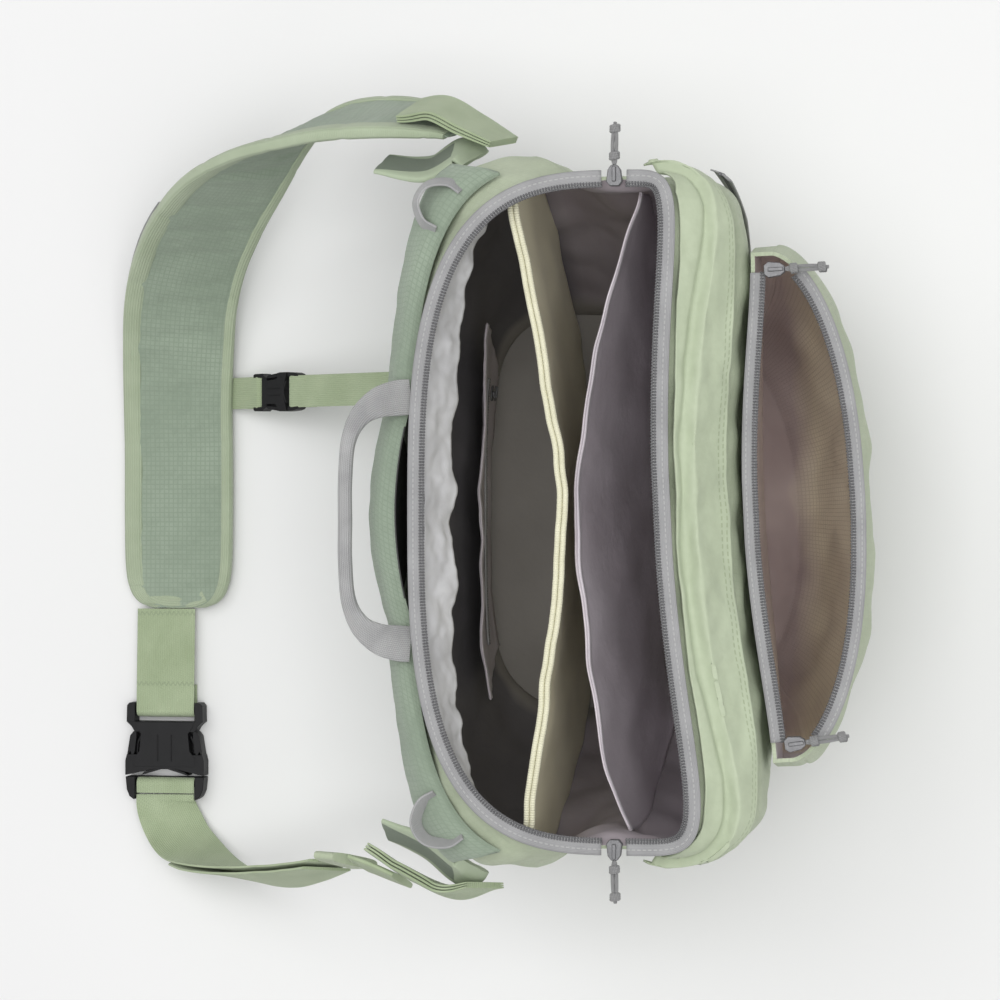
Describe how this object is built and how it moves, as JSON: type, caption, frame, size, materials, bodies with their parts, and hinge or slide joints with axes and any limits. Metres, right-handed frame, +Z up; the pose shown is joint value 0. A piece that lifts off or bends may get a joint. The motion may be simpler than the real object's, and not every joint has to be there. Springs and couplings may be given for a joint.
{
  "type": "fishing tackle sling bag",
  "caption": "Soft sling bag for fishing tackle, standing open on its base, with a front pocket, inner dividers and a padded shoulder strap laid beside it.",
  "frame": {"origin": "on the floor, on the flat underside of the bag's base, near its middle", "axes": "+Z up, +X along the bag towards the padded end of the strap, -Y towards the front pocket, +Y towards the wearer and the strap"},
  "size_m": [0.4827, 0.4864, 0.2594],
  "materials": {
    "shell_fabric": "coated plain weave",
    "pad_fabric": "padded ripstop",
    "webbing_green": "woven webbing",
    "webbing_grey": "woven webbing",
    "zip_grey": "woven tape with a moulded coil",
    "lining_grey": "thin coated lining",
    "lining_mauve": "thin coated lining",
    "divider_cream": "piped padded sheet",
    "buckle_black": "moulded",
    "cord_grey": "braided cord"
  },
  "bodies": {
    "root": {"main_shell": "shell_fabric", "back_panel": "pad_fabric", "front_band": "shell_fabric", "front_pocket": "shell_fabric", "main_zip_back": "zip_grey", "main_zip_front": "zip_grey", "pocket_zip_inner": "zip_grey", "pocket_zip_outer": "zip_grey", "side_zip": "zip_grey", "main_zip_slider_a": "zip_grey", "main_zip_slider_b": "zip_grey", "pocket_zip_slider_a": "zip_grey", "pocket_zip_slider_b": "zip_grey", "main_zip_pull_a": "cord_grey", "main_zip_pull_b": "cord_grey", "pocket_zip_pull_a": "cord_grey", "pocket_zip_pull_b": "cord_grey", "divider": "divider_cream", "slip_pocket": "lining_mauve", "collar_facing": "lining_grey", "inner_pocket": "lining_mauve", "inner_pocket_zip": "zip_grey", "inner_zip_slider": "zip_grey", "grab_handle": "webbing_grey", "gear_loop_a": "webbing_grey", "gear_loop_b": "webbing_grey", "strap_wing_upper": "pad_fabric", "strap_wing_lower": "pad_fabric", "strap_tab_upper": "webbing_green", "strap_tab_lower": "webbing_green", "strap_loop_lower": "webbing_green", "strap_keeper": "shell_fabric", "strap_pad": "pad_fabric", "strap_under_webbing": "webbing_grey", "strap_webbing_upper": "webbing_green", "strap_webbing_lower": "webbing_green", "strap_webbing_tail": "webbing_green", "strap_webbing_loop": "webbing_green", "buckle_female": "buckle_black", "buckle_male": "buckle_black", "sternum_buckle_female": "buckle_black", "sternum_buckle_male": "buckle_black", "sternum_webbing_pad": "webbing_green", "sternum_webbing_bag": "webbing_green"}
  },
  "joints": []
}
